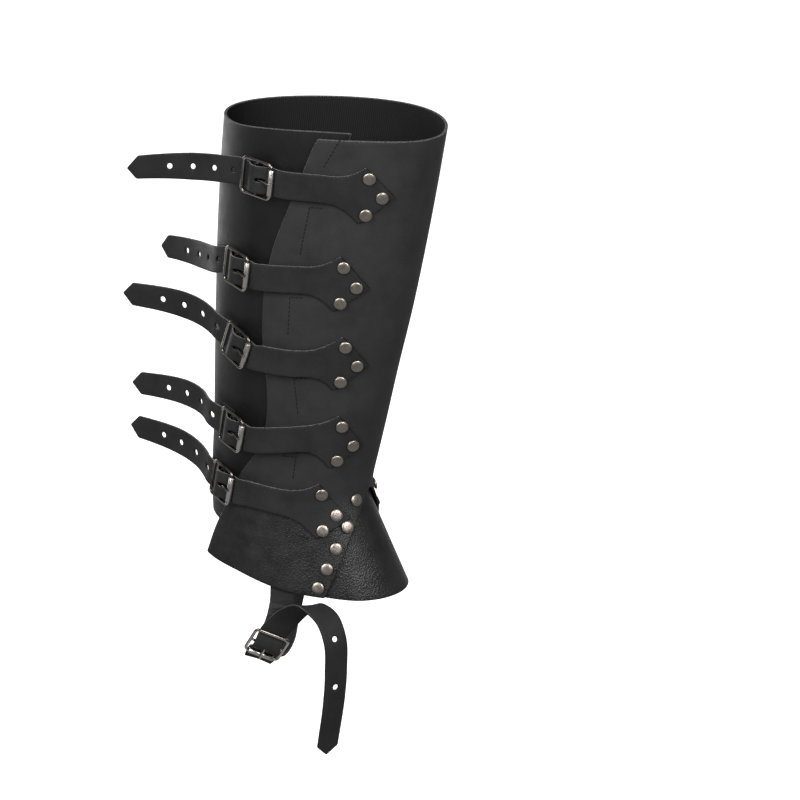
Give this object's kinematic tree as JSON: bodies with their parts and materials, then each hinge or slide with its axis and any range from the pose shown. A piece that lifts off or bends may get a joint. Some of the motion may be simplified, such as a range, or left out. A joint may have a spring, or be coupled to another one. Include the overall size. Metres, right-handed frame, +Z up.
{
  "type": "leg armour",
  "caption": "Black leather greave: a shin wrap lapped on its outer side, with buckled side straps, a riveted toe gusset and a buckled strap under the foot.",
  "frame": {"origin": "on the leg's axis at the ankle, where the leather is narrowest and the skirt starts to flare", "axes": "+Z up the leg, +X towards the toes, -Y towards the outer side with the buckles"},
  "size_m": [0.2744, 0.1471, 0.502],
  "materials": {
    "black_leather": "satin, fine grain, lighter cut edges",
    "dark_nickel": "polished dark nickel plate",
    "antique_nickel": "antique nickel plate, rubbed bright on the raised edges"
  },
  "bodies": {
    "root": {"buckle_frame_1": "dark_nickel", "buckle_frame_2": "dark_nickel", "buckle_frame_3": "dark_nickel", "buckle_frame_4": "dark_nickel", "buckle_frame_5": "dark_nickel", "buckle_frame_foot": "dark_nickel", "chape_1": "black_leather", "chape_2": "black_leather", "chape_3": "black_leather", "chape_4": "black_leather", "chape_5": "black_leather", "foot_strap": "black_leather", "foot_stub": "black_leather", "prong_1": "dark_nickel", "prong_2": "dark_nickel", "prong_3": "dark_nickel", "prong_4": "dark_nickel", "prong_5": "dark_nickel", "prong_foot": "dark_nickel", "roller_1": "dark_nickel", "roller_2": "dark_nickel", "roller_3": "dark_nickel", "roller_4": "dark_nickel", "roller_5": "dark_nickel", "roller_foot": "dark_nickel", "seam_rivet_inner_1": "antique_nickel", "seam_rivet_inner_2": "antique_nickel", "seam_rivet_inner_3": "antique_nickel", "seam_rivet_inner_4": "antique_nickel", "seam_rivet_inner_5": "antique_nickel", "seam_rivet_outer_1": "antique_nickel", "seam_rivet_outer_2": "antique_nickel", "seam_rivet_outer_3": "antique_nickel", "seam_rivet_outer_4": "antique_nickel", "seam_rivet_outer_5": "antique_nickel", "shell": "black_leather", "strap_1": "black_leather", "strap_2": "black_leather", "strap_3": "black_leather", "strap_4": "black_leather", "strap_5": "black_leather", "strap_rivet_1_1": "antique_nickel", "strap_rivet_1_2": "antique_nickel", "strap_rivet_1_3": "antique_nickel", "strap_rivet_2_1": "antique_nickel", "strap_rivet_2_2": "antique_nickel", "strap_rivet_2_3": "antique_nickel", "strap_rivet_3_1": "antique_nickel", "strap_rivet_3_2": "antique_nickel", "strap_rivet_3_3": "antique_nickel", "strap_rivet_4_1": "antique_nickel", "strap_rivet_4_2": "antique_nickel", "strap_rivet_4_3": "antique_nickel", "strap_rivet_5_1": "antique_nickel", "strap_rivet_5_2": "antique_nickel", "strap_rivet_5_3": "antique_nickel", "toe_gusset": "black_leather"}
  },
  "joints": []
}
